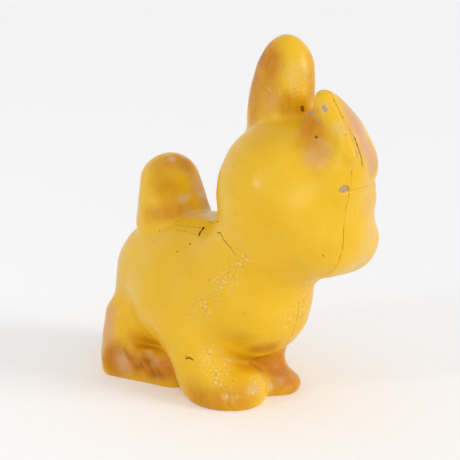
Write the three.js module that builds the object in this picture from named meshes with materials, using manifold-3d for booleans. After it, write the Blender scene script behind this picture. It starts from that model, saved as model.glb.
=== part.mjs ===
// A hollow moulded rubber puppy that squeaks, looking over its left shoulder.
// Millimetres, +Z up. The body faces +X, its left side is +Y and it stands on z = 0.
// The rubber is two half shells bonded along the mould's parting plane, from nose to tail.
// A metal whistle with a sprung reed sits in the sole, between the feet.
import * as THREE from 'three';
import { mergeVertices } from 'three/addons/utils/BufferGeometryUtils.js';
import Module from 'manifold-3d';

const wasm = await Module();
wasm.setup();

// Rubber: wall over the hollow, and the mesh steps of the skin and of the hollow
const wall = 3;
const skinStep = 3;
const hollowStep = 5;

// Main sizes: hips to chest, width over the back, height of the hips, and hind foot to hind foot
const bodyLength = 32;
const bodyWidth = 40;
const bodyHeight = 31;
const stanceWidth = 28;

// Trunk: rump and chest, with the back arched between them and the belly hanging below it
const rumpLength = 24;
const rumpInset = 1.6;
const rumpHeight = 21.5;
const chestRise = 0.5;
const chestLength = 21.3;
const chestInset = 1.5;
const chestHeight = 18.5;
const backRise = 4.4;
const backOverlap = 8;
const backHeight = 20.4;
const bellyBehind = 6;
const bellyDrop = 3.4;
const bellyLength = 19.8;
const bellyBulge = 3.4;
const bellyHeight = 19;

// Front legs: each place is ahead of the chest's middle, inwards from half the stance, and above the sole
const shoulderTop = [1, 6.5, 41.5];
const shoulderRadius = 9.5;
const rightElbow = [-11.6, 0.6, 23.5];
const rightElbowRadius = 10.2;
const rightAnkle = [-6, 2, 10];
const rightAnkleRadius = 10.8;
const rightPaw = [0.9, 4.3, 3.4];
const rightPawRadii = [13.1, 12.1, 8.6];
const leftElbow = [-3, 3, 22];
const leftElbowRadius = 9.5;
const leftAnkle = [-1.5, 5.6, 10];
const leftAnkleRadius = 7.6;
const leftPaw = [2.3, 6.4, 1.9];
const leftPawRadii = [11.8, 9.2, 4.6];

// Hind legs, alike on both sides: ahead of the hips, inwards from half the stance, above the sole
const haunchAt = [-4.5, 5.4, 22];
const haunchRadii = [14, 7.2, 14];
const hockAt = [-12, 2.2, 17.5];
const hockRadius = 8.4;
const heelAt = [-11.8, 0, 6];
const heelRadius = 8.4;
const hindPawAt = [-0.6, 1.3, 3.6];
const hindPawHalves = [16.4, 8.8, 6.6];
const hindPawCorner = 5.8;
const hindPawTurn = 16;

// Tail: a stout stub, standing up; ahead of the hips and above them
const tailRoot = [-1.8, 19];
const tailRootRadius = 12.8;
const tailTip = [-3.8, 32];
const tailTipRadius = 10.2;

// Head: its place from the chest, and its turn to the left from the way the body faces
const headPlace = [16, 5, 35.8];
const headRadius = 24.5;
const headTurn = 79;
const neckForward = 1.5;
const neckRadius = 14.6;
const napeFrom = [-3, -5, 6];
const napeTo = [-4, -8.5, -12];
const napeRadius = 13;

// Face, in the head's own directions: right, forward and up from the head's centre
const jawAt = [0, 6.8, -14.6];
const jawRadii = [20.2, 18.2, 11.6];
const cheekAt = [12.8, 0.4, -11.4];
const cheekRadii = [10.4, 11, 10.2];
const muzzleAt = [0, 16.4, -16.5];
const muzzleRadii = [12.8, 11.4, 10.6];
const noseRise = 6;
const noseRadii = [4.4, 3.2, 3.2];
const eyeSpread = 17;
const eyeRise = -4;
const eyeRadius = 3.6;
const eyeStand = -2.8;

// Brows: a ridge from the side of the head to above the eye, as angles from the face and heights
const browBack = 100;
const browFront = 20;
const browBackRise = 10.4;
const browFrontRise = 7;
const browRadius = 4.4;
const browBackStand = -3.8;
const browFrontStand = -2.6;
const browSteps = 6;

// Upright left ear, fuller at its tip and hollowed towards the face. Both are placed from its middle.
const leftEarRight = -8.2;
const leftEarForward = -0.2;
const leftEarRoot = 1;
const leftEarRadii = [12.3, 9, 24.6];
const leftEarLean = 8;
const leftEarTip = [3, 1, 13.5];
const leftEarTipRadii = [7.8, 7, 9.6];
const earHollowAt = [1, 9.5, 6.9];
const earHollowRadii = [6.8, 4.8, 12.4];

// Folded right ear: a dished back, the rolled fold from its peak to its bend, and the flap that hangs from it
const rightEarAt = [18.8, -3, 18.8];
const rightEarRadii = [10.4, 13, 5];
const rightEarAcross = [0.87, 0.37, -0.3];
const rightEarUpwards = [-0.04, 0.2, 0.98];
const foldPeak = [16.4, -2.4, 30.6];
const foldBend = [26.6, -0.6, 16];
const foldPeakRadius = 3.2;
const foldBendRadius = 2.4;
const foldEdge = 1;
const dishAt = [17.6, -9.8, 17.4];
const dishRadii = [9.4, 11.4, 3.4];
const flapAt = [17.4, 5.5, 20.4];
const flapTip = [20.6, 13.4, 8];
const flapRadii = [15.8, 5, 7.6];
const earRootAt = [17.3, 2.9, 17.4];
const earRootRadii = [8, 6.5, 8.5];
const templeAt = [20.7, 1, 11.4];
const templeRadii = [5.5, 8, 8];

// How widely one form runs into the next
const trunkBlend = 14;
const backBlend = 8;
const bellyBlend = 4;
const shoulderBlend = 7;
const limbBlend = 4;
const pawBlend = 5;
const hindPawBlend = 2;
const tailBlend = 1.2;
const neckBlend = 5;
const jawBlend = 7;
const cheekBlend = 5;
const templeBlend = 7;
const browBlend = 0.8;
const earBlend = 2.4;
const earTipBlend = 3;
const foldBlend = 1.4;
const creaseBlend = 1;
const faceBlend = 1.2;

// Web of rubber under the belly, which joins the feet and holds the whistle
const webBehind = 7;
const webRise = 4;
const webLength = 20;
const webHeight = 17;
const whistleCollar = 4.5;

// Whistle: a stepped outer cup, with an inner cup pushed into it over the reed plate
const whistleRadius = 7;
const whistleStep = 1.5;
const cupWall = 0.5;
const whistleRecess = 1;
const noseDepth = 1.5;
const cupDepth = 4.2;
const innerCupTop = 0.5;
const airHoleRadius = 1.5;
const airwayRadius = 4.5;
const clearance = 0.3;
const plateThickness = 0.8;
const roundSides = 24;

// Reed: a thin strip, held at one end by a rivet near the rim of the plate's opening
const reedWidth = 2;
const reedThickness = 0.25;
const reedRoot = 1.2;
const reedReach = 7;
const rivetMargin = 0.4;
const rivetRadius = 0.6;
const rivetHeadRadius = 1;
const rivetHeadHeight = 0.5;
const reedGap = 0.2;
const rivetFit = 0.1;

// Finishes
const yellowRubber = { color: 0xd9a521, roughness: 0.45, metalness: 0 };
const dullSteel = { color: 0xa7a39a, roughness: 0.4, metalness: 1 };
const brass = { color: 0xc2974a, roughness: 0.35, metalness: 1 };

const degrees = Math.PI / 180;
const sum = (a, b) => a.map((v, i) => v + b[i]);

// A form is a signed distance, below zero inside, with a box that holds it.
function ellipsoid(at, radii, turn = new THREE.Matrix4()) {
  const e = new THREE.Matrix4().copy(turn).transpose().elements;
  const [a, b, c] = radii;
  const reach = new THREE.Vector3().setScalar(Math.max(a, b, c));
  const middle = new THREE.Vector3(...at);
  const distance = (x, y, z) => {
    const dx = x - at[0];
    const dy = y - at[1];
    const dz = z - at[2];
    const u = (e[0] * dx + e[4] * dy + e[8] * dz) / a;
    const v = (e[1] * dx + e[5] * dy + e[9] * dz) / b;
    const w = (e[2] * dx + e[6] * dy + e[10] * dz) / c;
    const near = Math.hypot(u, v, w);
    const slope = Math.hypot(u / a, v / b, w / c);
    return slope > 0 ? near * (near - 1) / slope : -Math.min(a, b, c);
  };
  return { distance, box: new THREE.Box3(middle.clone().sub(reach), middle.clone().add(reach)) };
}

// A round limb that tapers between two points
function limb(from, to, fromRadius, toRadius) {
  const start = new THREE.Vector3(...from);
  const end = new THREE.Vector3(...to);
  const span = end.distanceTo(start);
  const [sx, sy, sz] = end.clone().sub(start).divideScalar(span).toArray();
  const lean = Math.tan(Math.asin((fromRadius - toRadius) / span));
  const distance = (x, y, z) => {
    const dx = x - from[0];
    const dy = y - from[1];
    const dz = z - from[2];
    const reach = dx * sx + dy * sy + dz * sz;
    const away = Math.hypot(dx - reach * sx, dy - reach * sy, dz - reach * sz);
    const t = THREE.MathUtils.clamp((reach - away * lean) / span, 0, 1);
    return Math.hypot(away, reach - t * span) - THREE.MathUtils.lerp(fromRadius, toRadius, t);
  };
  const box = new THREE.Box3().setFromPoints([start, end]);
  return { distance, box: box.expandByScalar(Math.max(fromRadius, toRadius)) };
}

// A block with rounded edges, turned about the upright
function block(at, halves, corner, turn) {
  const cosine = Math.cos(turn * degrees);
  const sine = Math.sin(turn * degrees);
  const past = (v, half) => Math.abs(v) - half + corner;
  const distance = (x, y, z) => {
    const dx = x - at[0];
    const dy = y - at[1];
    const u = past(dx * cosine + dy * sine, halves[0]);
    const v = past(dy * cosine - dx * sine, halves[1]);
    const w = past(z - at[2], halves[2]);
    const outside = Math.hypot(Math.max(u, 0), Math.max(v, 0), Math.max(w, 0));
    return outside + Math.min(Math.max(u, v, w), 0) - corner;
  };
  const middle = new THREE.Vector3(...at);
  const reach = new THREE.Vector3().setScalar(Math.hypot(halves[0], halves[1]));
  return { distance, box: new THREE.Box3(middle.clone().sub(reach), middle.clone().add(reach)) };
}

// All that lies past a point in a direction, as a tool to cut with
function beyond(at, direction) {
  const [nx, ny, nz] = direction;
  const distance = (x, y, z) => nx * (at[0] - x) + ny * (at[1] - y) + nz * (at[2] - z);
  return { distance };
}

function smoothMinimum(a, b, width) {
  const h = Math.max(width - Math.abs(a - b), 0) / width;
  return Math.min(a, b) - h * h * width / 4;
}

// Forms run together over a width, one after another.
function joined(width, ...forms) {
  const distance = (x, y, z) => {
    let nearest = forms[0].distance(x, y, z);
    for (const form of forms.slice(1)) nearest = smoothMinimum(nearest, form.distance(x, y, z), width);
    return nearest;
  };
  const box = forms.reduce((whole, form) => whole.union(form.box), new THREE.Box3());
  return { distance, box };
}

function carved(width, form, tool) {
  const distance = (x, y, z) => -smoothMinimum(-form.distance(x, y, z), tool.distance(x, y, z), width);
  return { distance, box: form.box };
}

function shrunk(form, depth) {
  return { distance: (x, y, z) => form.distance(x, y, z) + depth, box: form.box };
}

// Places of the trunk and the head
const hipAt = [-bodyLength / 2, 0, bodyHeight];
const chestAt = [bodyLength / 2, 0, bodyHeight + chestRise];
const backAt = [0, 0, bodyHeight + backRise];
const bellyAt = [-bellyBehind, 0, bodyHeight - bellyDrop];
const webAt = [-webBehind, 0, webRise];
const headAt = sum(chestAt, headPlace);

// The head's directions as a turn, and points and directions given in them
const headAxes = new THREE.Matrix4().makeRotationZ((headTurn - 90) * degrees);
const headward = (direction) => new THREE.Vector3(...direction).applyMatrix4(headAxes);
const onHead = (place) => sum(headward(place).toArray(), headAt);

function tilted(axis, angle) {
  const turn = new THREE.Matrix4().makeRotationAxis(axis, angle * degrees);
  return new THREE.Matrix4().multiplyMatrices(headAxes, turn);
}

// A turn whose first axis is one direction, with its second axis as near as can be to another
function axesFrom(first, second) {
  const x = first.clone().normalize();
  const z = new THREE.Vector3().crossVectors(x, second).normalize();
  return new THREE.Matrix4().makeBasis(x, new THREE.Vector3().crossVectors(z, x), z);
}

const halfWidth = bodyWidth / 2;
const rump = ellipsoid(hipAt, [rumpLength, halfWidth - rumpInset, rumpHeight]);
const chest = ellipsoid(chestAt, [chestLength, halfWidth - chestInset, chestHeight]);
const back = ellipsoid(backAt, [bodyLength / 2 + backOverlap, halfWidth, backHeight]);
const belly = ellipsoid(bellyAt, [bellyLength, halfWidth + bellyBulge, bellyHeight]);
const neckAhead = [neckForward, 0, 0];
const neck = limb(sum(chestAt, neckAhead), sum(headAt, neckAhead), neckRadius, neckRadius);
const nape = limb(sum(chestAt, napeFrom), sum(headAt, napeTo), napeRadius, napeRadius);
const skull = ellipsoid(headAt, [headRadius, headRadius, headRadius]);
const muzzle = ellipsoid(onHead(muzzleAt), muzzleRadii, headAxes);
const jaw = ellipsoid(onHead(jawAt), jawRadii, headAxes);
const rightCheek = ellipsoid(onHead(cheekAt), cheekRadii, headAxes);
const leftCheek = ellipsoid(onHead([-cheekAt[0], cheekAt[1], cheekAt[2]]), cheekRadii, headAxes);
const barrel = joined(bellyBlend, joined(backBlend, joined(trunkBlend, rump, chest), back), belly);
const face = joined(cheekBlend, skull, joined(jawBlend, jaw, muzzle, leftCheek, rightCheek));

// A place on a leg, from the middle of the chest or the hips
const legPlace = (from, side, [ahead, inset, height]) =>
  [from[0] + ahead, side * (stanceWidth / 2 - inset), height];

function frontLegForm(side, elbow, elbowRadius, ankle, ankleRadius, paw, pawRadii) {
  const elbowAt = legPlace(chestAt, side, elbow);
  const shoulder = limb(legPlace(chestAt, side, shoulderTop), elbowAt, shoulderRadius, elbowRadius);
  const shin = limb(elbowAt, legPlace(chestAt, side, ankle), elbowRadius, ankleRadius);
  return { shoulder, leg: joined(pawBlend, shin, ellipsoid(legPlace(chestAt, side, paw), pawRadii)) };
}

function hindLegForm(side) {
  const haunch = ellipsoid(legPlace(hipAt, side, haunchAt), haunchRadii);
  const shank = limb(legPlace(hipAt, side, hockAt), legPlace(hipAt, side, heelAt), hockRadius, heelRadius);
  const paw = block(legPlace(hipAt, side, hindPawAt), hindPawHalves, hindPawCorner, -side * hindPawTurn);
  return joined(hindPawBlend, joined(limbBlend, haunch, shank), paw);
}

function leftEarForm() {
  const at = [leftEarRight, leftEarForward, headRadius - leftEarRoot];
  const turn = tilted(new THREE.Vector3(0, 1, 0), leftEarLean);
  const part = (place, radii) => ellipsoid(onHead(sum(at, place)), radii, turn);
  const ear = joined(earTipBlend, part([0, 0, 0], leftEarRadii), part(leftEarTip, leftEarTipRadii));
  return carved(creaseBlend, ear, part(earHollowAt, earHollowRadii));
}

function rightEarForm() {
  const axes = axesFrom(headward(rightEarAcross), headward(rightEarUpwards));
  const along = headward(foldBend).sub(headward(foldPeak)).normalize();
  const outward = along.clone().cross(new THREE.Vector3().setFromMatrixColumn(axes, 2)).negate();
  const edgeAt = sum(onHead(foldPeak), outward.clone().multiplyScalar(foldEdge).toArray());
  const wholeLeaf = ellipsoid(onHead(rightEarAt), rightEarRadii, axes);
  const leaf = carved(foldBlend, wholeLeaf, beyond(edgeAt, outward.toArray()));
  const dished = carved(creaseBlend, leaf, ellipsoid(onHead(dishAt), dishRadii, axes));
  const roll = limb(onHead(foldPeak), onHead(foldBend), foldPeakRadius, foldBendRadius);
  const hang = headward(flapTip).sub(headward(foldPeak)).normalize();
  const wholeFlap = ellipsoid(onHead(flapAt), flapRadii, axesFrom(hang, headward(flapAt)));
  const flap = carved(creaseBlend, wholeFlap, beyond(onHead(flapTip), hang.toArray()));
  return joined(creaseBlend, dished, roll, flap);
}

// A place on the skull, from its angle to one side of the face, its height and how far it stands out
function onSkull(side, angle, height, stand) {
  const level = Math.sqrt((headRadius + stand) ** 2 - height ** 2);
  return onHead([side * Math.sin(angle * degrees) * level, Math.cos(angle * degrees) * level, height]);
}

function browForm(side) {
  const places = Array.from({ length: browSteps + 1 }, (_, n) => {
    const t = n / browSteps;
    const angle = THREE.MathUtils.lerp(browBack, browFront, t);
    const height = THREE.MathUtils.lerp(browBackRise, browFrontRise, t);
    const stand = THREE.MathUtils.lerp(browBackStand, browFrontStand, Math.min(2 * t, 1));
    return onSkull(side, angle, height, stand);
  });
  const stretches = places.slice(1).map((place, n) => limb(places[n], place, browRadius, browRadius));
  return joined(browBlend, ...stretches);
}

function headForm() {
  const noseAt = [muzzleAt[0], muzzleAt[1] + muzzleRadii[1] - noseRadii[1], muzzleAt[2] + noseRise];
  const earRoot = ellipsoid(onHead(earRootAt), earRootRadii);
  const temple = joined(limbBlend, earRoot, ellipsoid(onHead(templeAt), templeRadii));
  const browed = joined(browBlend, joined(templeBlend, face, temple), browForm(-1), browForm(1));
  const eyes = [-1, 1].map((side) => {
    const height = Math.sin(eyeRise * degrees) * headRadius;
    return ellipsoid(onSkull(side, eyeSpread, height, eyeStand), [eyeRadius, eyeRadius, eyeRadius]);
  });
  const features = joined(faceBlend, browed, ellipsoid(onHead(noseAt), noseRadii, headAxes), ...eyes);
  return joined(foldBlend, joined(earBlend, features, leftEarForm()), rightEarForm());
}

function puppyForm() {
  const right = frontLegForm(
    -1, rightElbow, rightElbowRadius, rightAnkle, rightAnkleRadius, rightPaw, rightPawRadii);
  const left = frontLegForm(
    1, leftElbow, leftElbowRadius, leftAnkle, leftAnkleRadius, leftPaw, leftPawRadii);
  const trunk = joined(shoulderBlend, barrel, right.shoulder, left.shoulder);
  const web = ellipsoid(webAt, [webLength, whistleRadius + whistleCollar, webHeight]);
  const tailAt = ([ahead, rise]) => sum(hipAt, [ahead, 0, rise]);
  const tail = limb(tailAt(tailRoot), tailAt(tailTip), tailRootRadius, tailTipRadius);
  const onFeet = joined(limbBlend, trunk, right.leg, left.leg, hindLegForm(-1), hindLegForm(1), web);
  const standing = joined(tailBlend, onFeet, tail);
  return joined(neckBlend, joined(backBlend, standing, neck, nape), headForm());
}

function hollowForm() {
  return shrunk(joined(backBlend, barrel, neck, face), wall);
}

// Skin of a form: one point in each grid cell that the surface crosses, moved onto the surface,
// and a pair of triangles across each grid line that it crosses. Grid planes lie on y = 0 and z = 0.
function skinOf(form, step) {
  const low = form.box.min.toArray().map((v) => (Math.floor(v / step) - 2) * step);
  const size = form.box.max.toArray().map((v, i) => Math.ceil((v - low[i]) / step) + 3);
  const strides = [1, size[0], size[0] * size[1]];
  const values = new Float64Array(size[0] * size[1] * size[2]);
  const pointOf = new Int32Array(values.length).fill(-1);
  const indexOf = (cell) => cell[0] + cell[1] * strides[1] + cell[2] * strides[2];
  const place = (cell) => cell.map((n, i) => low[i] + n * step);
  const eachCell = (visit) => {
    for (let k = 0; k < size[2] - 1; k++) {
      for (let j = 0; j < size[1] - 1; j++) {
        for (let i = 0; i < size[0] - 1; i++) visit([i, j, k]);
      }
    }
  };
  values.fill(step);
  eachCell((cell) => {
    values[indexOf(cell)] = form.distance(...place(cell));
  });
  fillPinches(values, strides, (visit) => eachCell((cell) => visit(indexOf(cell))));

  const corners = [0, 1, 2, 3, 4, 5, 6, 7].map((n) => [n & 1, (n >> 1) & 1, n >> 2]);
  const edgesFrom = (n) => [1, 2, 4].filter((bit) => !(n & bit)).map((bit) => [n, n | bit]);
  const edges = corners.flatMap((_, n) => edgesFrom(n));
  const points = [];
  eachCell((cell) => {
    const start = indexOf(cell);
    const inside = corners.map((c) => values[start + indexOf(c)]);
    const crossings = edges.filter(([a, b]) => (inside[a] < 0) !== (inside[b] < 0));
    if (crossings.length === 0) return;
    const mean = [0, 0, 0];
    for (const [a, b] of crossings) {
      const t = inside[a] / (inside[a] - inside[b]);
      mean.forEach((_, i) => {
        mean[i] += THREE.MathUtils.lerp(corners[a][i], corners[b][i], t) / crossings.length;
      });
    }
    pointOf[start] = points.length / 3;
    points.push(...settled(form, place(cell.map((n, i) => n + mean[i])), step));
  });

  const triangles = [];
  eachCell((cell) => {
    const start = indexOf(cell);
    for (let axis = 0; axis < 3; axis++) {
      const out = values[start] < 0;
      if (out === values[start + strides[axis]] < 0) continue;
      const u = strides[(axis + 1) % 3];
      const v = strides[(axis + 2) % 3];
      const ring = [start - u - v, start - v, start, start - u].map((n) => pointOf[n]);
      if (!out) ring.reverse();
      triangles.push(...splitQuad(points, ring));
    }
  });
  const geometry = new THREE.BufferGeometry();
  geometry.setAttribute('position', new THREE.Float32BufferAttribute(points, 3));
  geometry.setIndex(triangles);
  return geometry;
}

// A grid square with only two corners inside, across from each other, would pinch the skin.
// The nearer of its other corners then counts as inside, until no square is left that pinches.
function fillPinches(values, [i, j, k], eachStart) {
  let pinched = true;
  const mend = (start, u, v) => {
    const ring = [start, start + u, start + u + v, start + v];
    const inside = ring.map((n) => values[n] < 0);
    if (inside[0] !== inside[2] || inside[1] !== inside[3] || inside[0] === inside[1]) return;
    const [nearer] = ring.filter((n) => values[n] >= 0).sort((a, b) => values[a] - values[b]);
    values[nearer] = -Number.EPSILON;
    pinched = true;
  };
  while (pinched) {
    pinched = false;
    eachStart((start) => {
      mend(start, i, j);
      mend(start, j, k);
      mend(start, k, i);
    });
  }
}

// Moves a point along the form's slope until it lies on the surface, less than half a step away.
function settled(form, point, step) {
  const start = new THREE.Vector3(...point);
  const at = start.clone();
  const probe = step / 20;
  for (let round = 0; round < 3; round++) {
    const here = form.distance(at.x, at.y, at.z);
    const slope = new THREE.Vector3(
      form.distance(at.x + probe, at.y, at.z) - here,
      form.distance(at.x, at.y + probe, at.z) - here,
      form.distance(at.x, at.y, at.z + probe) - here,
    ).divideScalar(probe);
    at.addScaledVector(slope, -here / Math.max(slope.lengthSq(), 0.1));
  }
  return at.sub(start).clampLength(0, step * 0.3).add(start).toArray();
}

// A quad is cut along its shorter diagonal.
function splitQuad(points, [a, b, c, d]) {
  const corner = (n) => new THREE.Vector3().fromArray(points, 3 * n);
  const acrossAC = corner(a).distanceToSquared(corner(c));
  const acrossBD = corner(b).distanceToSquared(corner(d));
  return acrossAC <= acrossBD ? [a, b, c, a, c, d] : [a, b, d, b, c, d];
}

// Solids for cutting and joining
function solidOf(geometry) {
  const bare = new THREE.BufferGeometry();
  bare.setAttribute('position', geometry.getAttribute('position'));
  bare.setIndex(geometry.index);
  const merged = mergeVertices(bare, 1e-5);
  const vertProperties = new Float32Array(merged.getAttribute('position').array);
  const triVerts = new Uint32Array(merged.index.array);
  return new wasm.Manifold(new wasm.Mesh({ numProp: 3, vertProperties, triVerts }));
}

function geometryOf(solid) {
  const { vertProperties, triVerts } = solid.getMesh();
  const geometry = new THREE.BufferGeometry();
  geometry.setAttribute('position', new THREE.Float32BufferAttribute(vertProperties, 3));
  geometry.setIndex(Array.from(triVerts));
  geometry.computeVertexNormals();
  return geometry;
}

function boxSolid(low, high) {
  const size = high.map((v, i) => v - low[i]);
  const geometry = new THREE.BoxGeometry(...size);
  return solidOf(geometry.translate(...low.map((v, i) => v + size[i] / 2)));
}

// A turned piece about an upright axis, from its closed outline of radius and height
function turned(outline, x = 0) {
  const points = outline.map(([radius, height]) => new THREE.Vector2(radius, height));
  if (outline[0][0] > 0) points.push(points[0].clone());
  const geometry = new THREE.LatheGeometry(points, roundSides);
  return solidOf(geometry.rotateX(Math.PI / 2).translate(webAt[0] + x, 0, 0));
}

// Heights through the whistle, from the sole upwards, and the reed's place in it
const noseRadius = whistleRadius - whistleStep;
const noseBottom = whistleRecess;
const stepBottom = noseBottom + noseDepth;
const plateBottom = stepBottom + cupWall;
const plateTop = plateBottom + plateThickness;
const cupTop = stepBottom + cupDepth;
const innerTop = cupTop - innerCupTop;
const innerCupRadius = whistleRadius - cupWall - clearance;
const reedBottom = plateTop + reedGap;
const reedTop = reedBottom + reedThickness;
const rivetOffset = noseRadius - cupWall - rivetMargin - rivetHeadRadius;

// Room for the whistle in the rubber: a lip below its step, a shoulder above it and an airway
function whistleSeat() {
  const shoulder = cupTop + clearance;
  const outline = [
    [0, -wall],
    [noseRadius + clearance, -wall],
    [noseRadius + clearance, stepBottom - clearance],
    [whistleRadius + clearance, stepBottom - clearance],
    [whistleRadius + clearance, shoulder],
    [airwayRadius, shoulder],
    [airwayRadius, backAt[2]],
    [0, backAt[2]],
  ];
  return turned(outline);
}

function rubberHalves() {
  const form = puppyForm();
  const low = form.box.min.toArray().map((v) => v - skinStep);
  const high = form.box.max.toArray().map((v) => v + skinStep);
  const ground = boxSolid(low, [high[0], high[1], 0]);
  const hollow = solidOf(skinOf(hollowForm(), hollowStep));
  const rubber = solidOf(skinOf(form, skinStep)).subtract(ground).subtract(hollow).subtract(whistleSeat());
  return {
    right: rubber.intersect(boxSolid(low, [high[0], 0, high[2]])),
    left: rubber.intersect(boxSolid([low[0], 0, low[2]], high)),
  };
}

function outerCup() {
  return turned([
    [airHoleRadius, noseBottom],
    [noseRadius, noseBottom],
    [noseRadius, stepBottom],
    [whistleRadius, stepBottom],
    [whistleRadius, cupTop],
    [whistleRadius - cupWall, cupTop],
    [whistleRadius - cupWall, plateBottom],
    [noseRadius - cupWall, plateBottom],
    [noseRadius - cupWall, noseBottom + cupWall],
    [airHoleRadius, noseBottom + cupWall],
  ]);
}

function innerCup() {
  return turned([
    [innerCupRadius - cupWall, plateTop],
    [innerCupRadius, plateTop],
    [innerCupRadius, innerTop],
    [airHoleRadius, innerTop],
    [airHoleRadius, innerTop - cupWall],
    [innerCupRadius - cupWall, innerTop - cupWall],
  ]);
}

function disc(radius, bottom, top, x = 0) {
  return turned([[0, bottom], [radius, bottom], [radius, top], [0, top]], x);
}

// Plate with the slot that the reed beats in, and a hole for the rivet
function reedPlate() {
  const slotStart = webAt[0] - rivetOffset + rivetHeadRadius + clearance;
  const slotEnd = webAt[0] - rivetOffset + reedReach + clearance;
  const halfSlot = reedWidth / 2 + clearance;
  const slotLow = [slotStart, -halfSlot, plateBottom - cupWall];
  const slotHigh = [slotEnd, halfSlot, plateTop + cupWall];
  const slot = boxSolid(slotLow, slotHigh);
  const hole = disc(rivetRadius + rivetFit, plateBottom - cupWall, plateTop + cupWall, -rivetOffset);
  return disc(innerCupRadius, plateBottom, plateTop).subtract(slot).subtract(hole);
}

function reed() {
  const pivot = webAt[0] - rivetOffset;
  const halfReed = reedWidth / 2;
  const strip = boxSolid([pivot - reedRoot, -halfReed, reedBottom], [pivot + reedReach, halfReed, reedTop]);
  return strip.subtract(disc(rivetRadius + rivetFit, reedBottom - reedGap, reedTop + reedGap, -rivetOffset));
}

function reedRivet() {
  const headBottom = reedTop + reedGap;
  return turned([
    [0, plateBottom - rivetHeadHeight],
    [rivetHeadRadius, plateBottom - rivetHeadHeight],
    [rivetHeadRadius, plateBottom],
    [rivetRadius, plateBottom],
    [rivetRadius, headBottom],
    [rivetHeadRadius, headBottom],
    [rivetHeadRadius, headBottom + rivetHeadHeight],
    [0, headBottom + rivetHeadHeight],
  ], -rivetOffset);
}

function piece(name, solid, finish) {
  const mesh = new THREE.Mesh(geometryOf(solid), new THREE.MeshStandardMaterial(finish));
  mesh.name = name;
  return mesh;
}

// The finished toy stands with the middle of its box over the origin.
const halves = rubberHalves();
const puppy = new THREE.Group();
puppy.add(
  piece('right_half_shell', halves.right, yellowRubber),
  piece('left_half_shell', halves.left, yellowRubber),
  piece('whistle_outer_cup', outerCup(), dullSteel),
  piece('whistle_inner_cup', innerCup(), dullSteel),
  piece('reed_plate', reedPlate(), dullSteel),
  piece('reed', reed(), brass),
  piece('reed_rivet', reedRivet(), brass),
);
const middle = new THREE.Box3().setFromObject(puppy).getCenter(new THREE.Vector3());
puppy.position.set(-middle.x, -middle.y, 0);

export default puppy;
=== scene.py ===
import bpy
import numpy as np
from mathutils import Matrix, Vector


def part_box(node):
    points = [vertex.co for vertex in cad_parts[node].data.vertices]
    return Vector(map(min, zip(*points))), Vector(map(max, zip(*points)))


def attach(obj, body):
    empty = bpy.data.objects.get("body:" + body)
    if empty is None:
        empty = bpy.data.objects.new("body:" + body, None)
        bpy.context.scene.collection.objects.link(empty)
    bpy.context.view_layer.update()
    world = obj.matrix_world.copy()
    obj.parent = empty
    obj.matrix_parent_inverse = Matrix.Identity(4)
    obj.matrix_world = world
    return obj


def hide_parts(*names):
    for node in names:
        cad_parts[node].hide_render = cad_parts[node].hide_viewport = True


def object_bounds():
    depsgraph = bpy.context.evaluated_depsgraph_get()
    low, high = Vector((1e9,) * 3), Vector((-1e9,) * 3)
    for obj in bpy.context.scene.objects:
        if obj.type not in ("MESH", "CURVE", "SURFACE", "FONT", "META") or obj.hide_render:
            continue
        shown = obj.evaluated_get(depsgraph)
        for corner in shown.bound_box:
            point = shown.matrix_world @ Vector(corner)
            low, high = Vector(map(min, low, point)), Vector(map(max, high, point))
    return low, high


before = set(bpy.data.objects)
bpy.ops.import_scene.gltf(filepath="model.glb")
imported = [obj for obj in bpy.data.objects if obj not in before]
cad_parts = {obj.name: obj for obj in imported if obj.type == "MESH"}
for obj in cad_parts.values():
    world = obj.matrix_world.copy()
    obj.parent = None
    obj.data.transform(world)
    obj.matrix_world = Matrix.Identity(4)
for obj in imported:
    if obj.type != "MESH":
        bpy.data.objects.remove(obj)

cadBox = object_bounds()
mm = 0.001
tiny = 1e-6

# The whistle's axis places the mould's own frame in the row's frame
whistleAxis = (-7.0, 0.0)
cupLow, cupHigh = (Vector(corner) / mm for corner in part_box("whistle_outer_cup"))
cupMiddle = [(low + high) / 2 for low, high in zip(cupLow, cupHigh)]
shift = np.array([cupMiddle[0] - whistleAxis[0], cupMiddle[1] - whistleAxis[1], 0.0])


# Distances below zero inside a shape
def softMin(a, b, width):
    near = np.maximum(width - np.abs(a - b), 0.0) / width
    return np.minimum(a, b) - near * near * width / 4


def joined(width, *forms):
    whole = forms[0]
    for form in forms[1:]:
        whole = softMin(whole, form, width)
    return whole


def carved(width, form, tool):
    return -softMin(-form, tool, width)


def ellipsoid(p, at, radii, turn=None):
    q = p - np.asarray(at, np.float32)
    if turn is not None:
        q = q @ np.asarray(turn, np.float32)
    q = q / np.asarray(radii, np.float32)
    near = np.sqrt(np.einsum("ij,ij->i", q, q)) + tiny
    q = q / np.asarray(radii, np.float32)
    slope = np.sqrt(np.einsum("ij,ij->i", q, q)) + tiny
    return near * (near - 1) / slope


def limb(p, start, end, startRadius, endRadius):
    q = p - np.asarray(start, np.float32)
    along = np.subtract(end, start).astype(np.float32)
    span = np.sqrt(along @ along)
    taper = (startRadius - endRadius) / span
    reach = q @ along / span
    away = np.sqrt(np.maximum(np.einsum("ij,ij->i", q, q) - reach ** 2, 0))
    t = np.clip((reach - away * taper / np.sqrt(1 - taper ** 2)) / span, 0, 1)
    return np.hypot(away, reach - t * span) - (startRadius + (endRadius - startRadius) * t)


def block(p, at, halves, corner, turn):
    angle = np.radians(turn)
    q = p - np.asarray(at, np.float32)
    x = q[:, 0] * np.cos(angle) + q[:, 1] * np.sin(angle)
    y = q[:, 1] * np.cos(angle) - q[:, 0] * np.sin(angle)
    past = np.abs(np.stack([x, y, q[:, 2]], 1)) - (np.asarray(halves, np.float32) - corner)
    outside = np.maximum(past, 0)
    return np.sqrt(np.einsum("ij,ij->i", outside, outside)) + np.minimum(past.max(1), 0) - corner


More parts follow.
